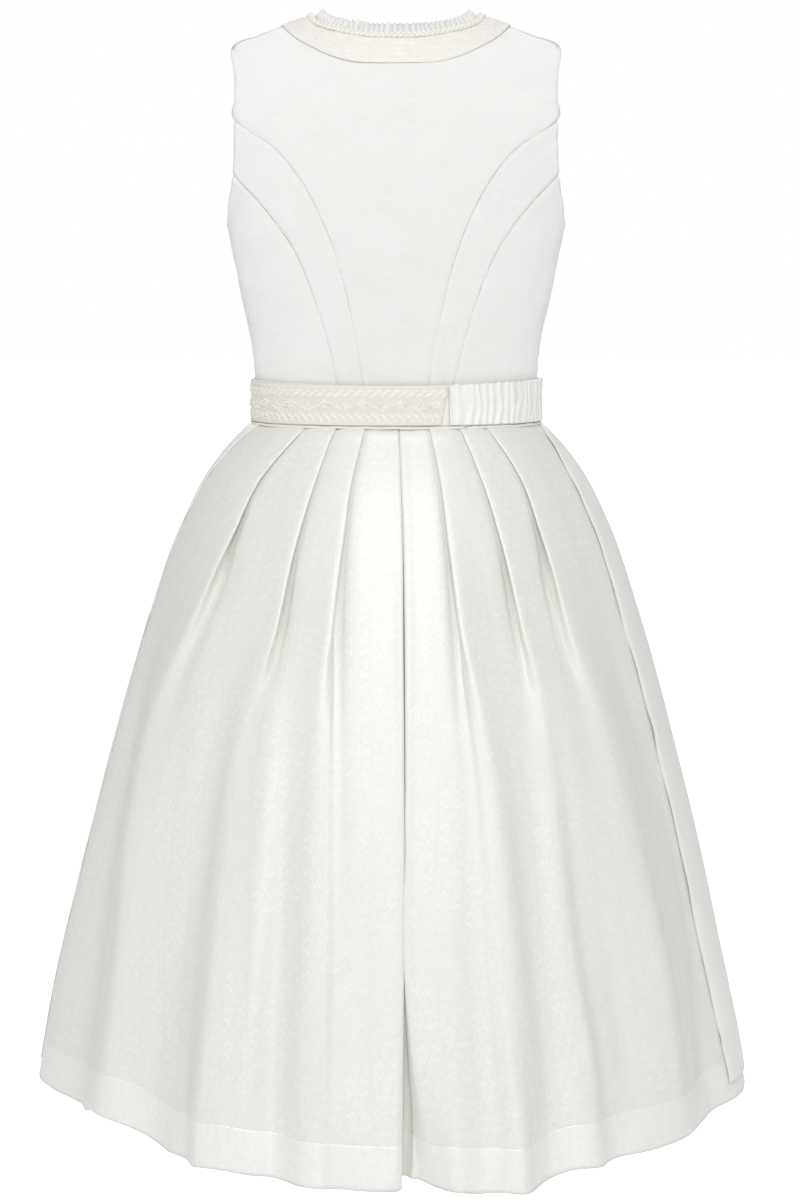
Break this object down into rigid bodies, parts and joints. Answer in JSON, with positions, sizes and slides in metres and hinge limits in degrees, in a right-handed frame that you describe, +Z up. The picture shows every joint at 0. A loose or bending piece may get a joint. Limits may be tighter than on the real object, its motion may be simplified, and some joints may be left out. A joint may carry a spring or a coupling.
{
  "type": "bridal dirndl",
  "caption": "Sleeveless ivory bridal dirndl in its worn shape: princess-seamed bodice, trimmed round neck, waistband, pleated jacquard skirt and apron.",
  "frame": {"origin": "midway between the two neck points, where the shoulder ridges meet the neckline and the wearer's shoulders carry the dress", "axes": "+Z up the worn dress, +X towards the wearer's left, front towards -Y and back towards +Y"},
  "size_m": [0.6836, 0.5779, 1.0172],
  "materials": {
    "bodice_linen": "matt slubby ivory linen",
    "skirt_brocade": "ivory jacquard with a soft satin sheen",
    "apron_satin": "ivory satin, soft sheen",
    "band_satin": "ivory satin, soft sheen",
    "band_trim": "cream embroidered trim with small pearls, matt",
    "neck_trim": "cream embroidered trim, matt",
    "neck_braid": "cream looped braid, matt",
    "neck_ruffle": "ivory satin, soft sheen"
  },
  "bodies": {
    "root": {"back_center": "bodice_linen", "back_strip_left": "bodice_linen", "back_strip_right": "bodice_linen", "back_side_left": "bodice_linen", "back_side_right": "bodice_linen", "front_left": "bodice_linen", "front_right": "bodice_linen", "front_side_left": "bodice_linen", "front_side_right": "bodice_linen", "neck_trim_back": "neck_trim", "neck_trim_front_left": "neck_trim", "neck_trim_front_right": "neck_trim", "neck_braid_back": "neck_braid", "neck_braid_front_left": "neck_braid", "neck_braid_front_right": "neck_braid", "neck_ruffle": "neck_ruffle", "skirt_back_left": "skirt_brocade", "skirt_back_right": "skirt_brocade", "skirt_front": "skirt_brocade", "apron": "apron_satin", "waistband": "band_satin", "band_ruching": "band_satin", "band_trim": "band_trim"}
  },
  "joints": []
}
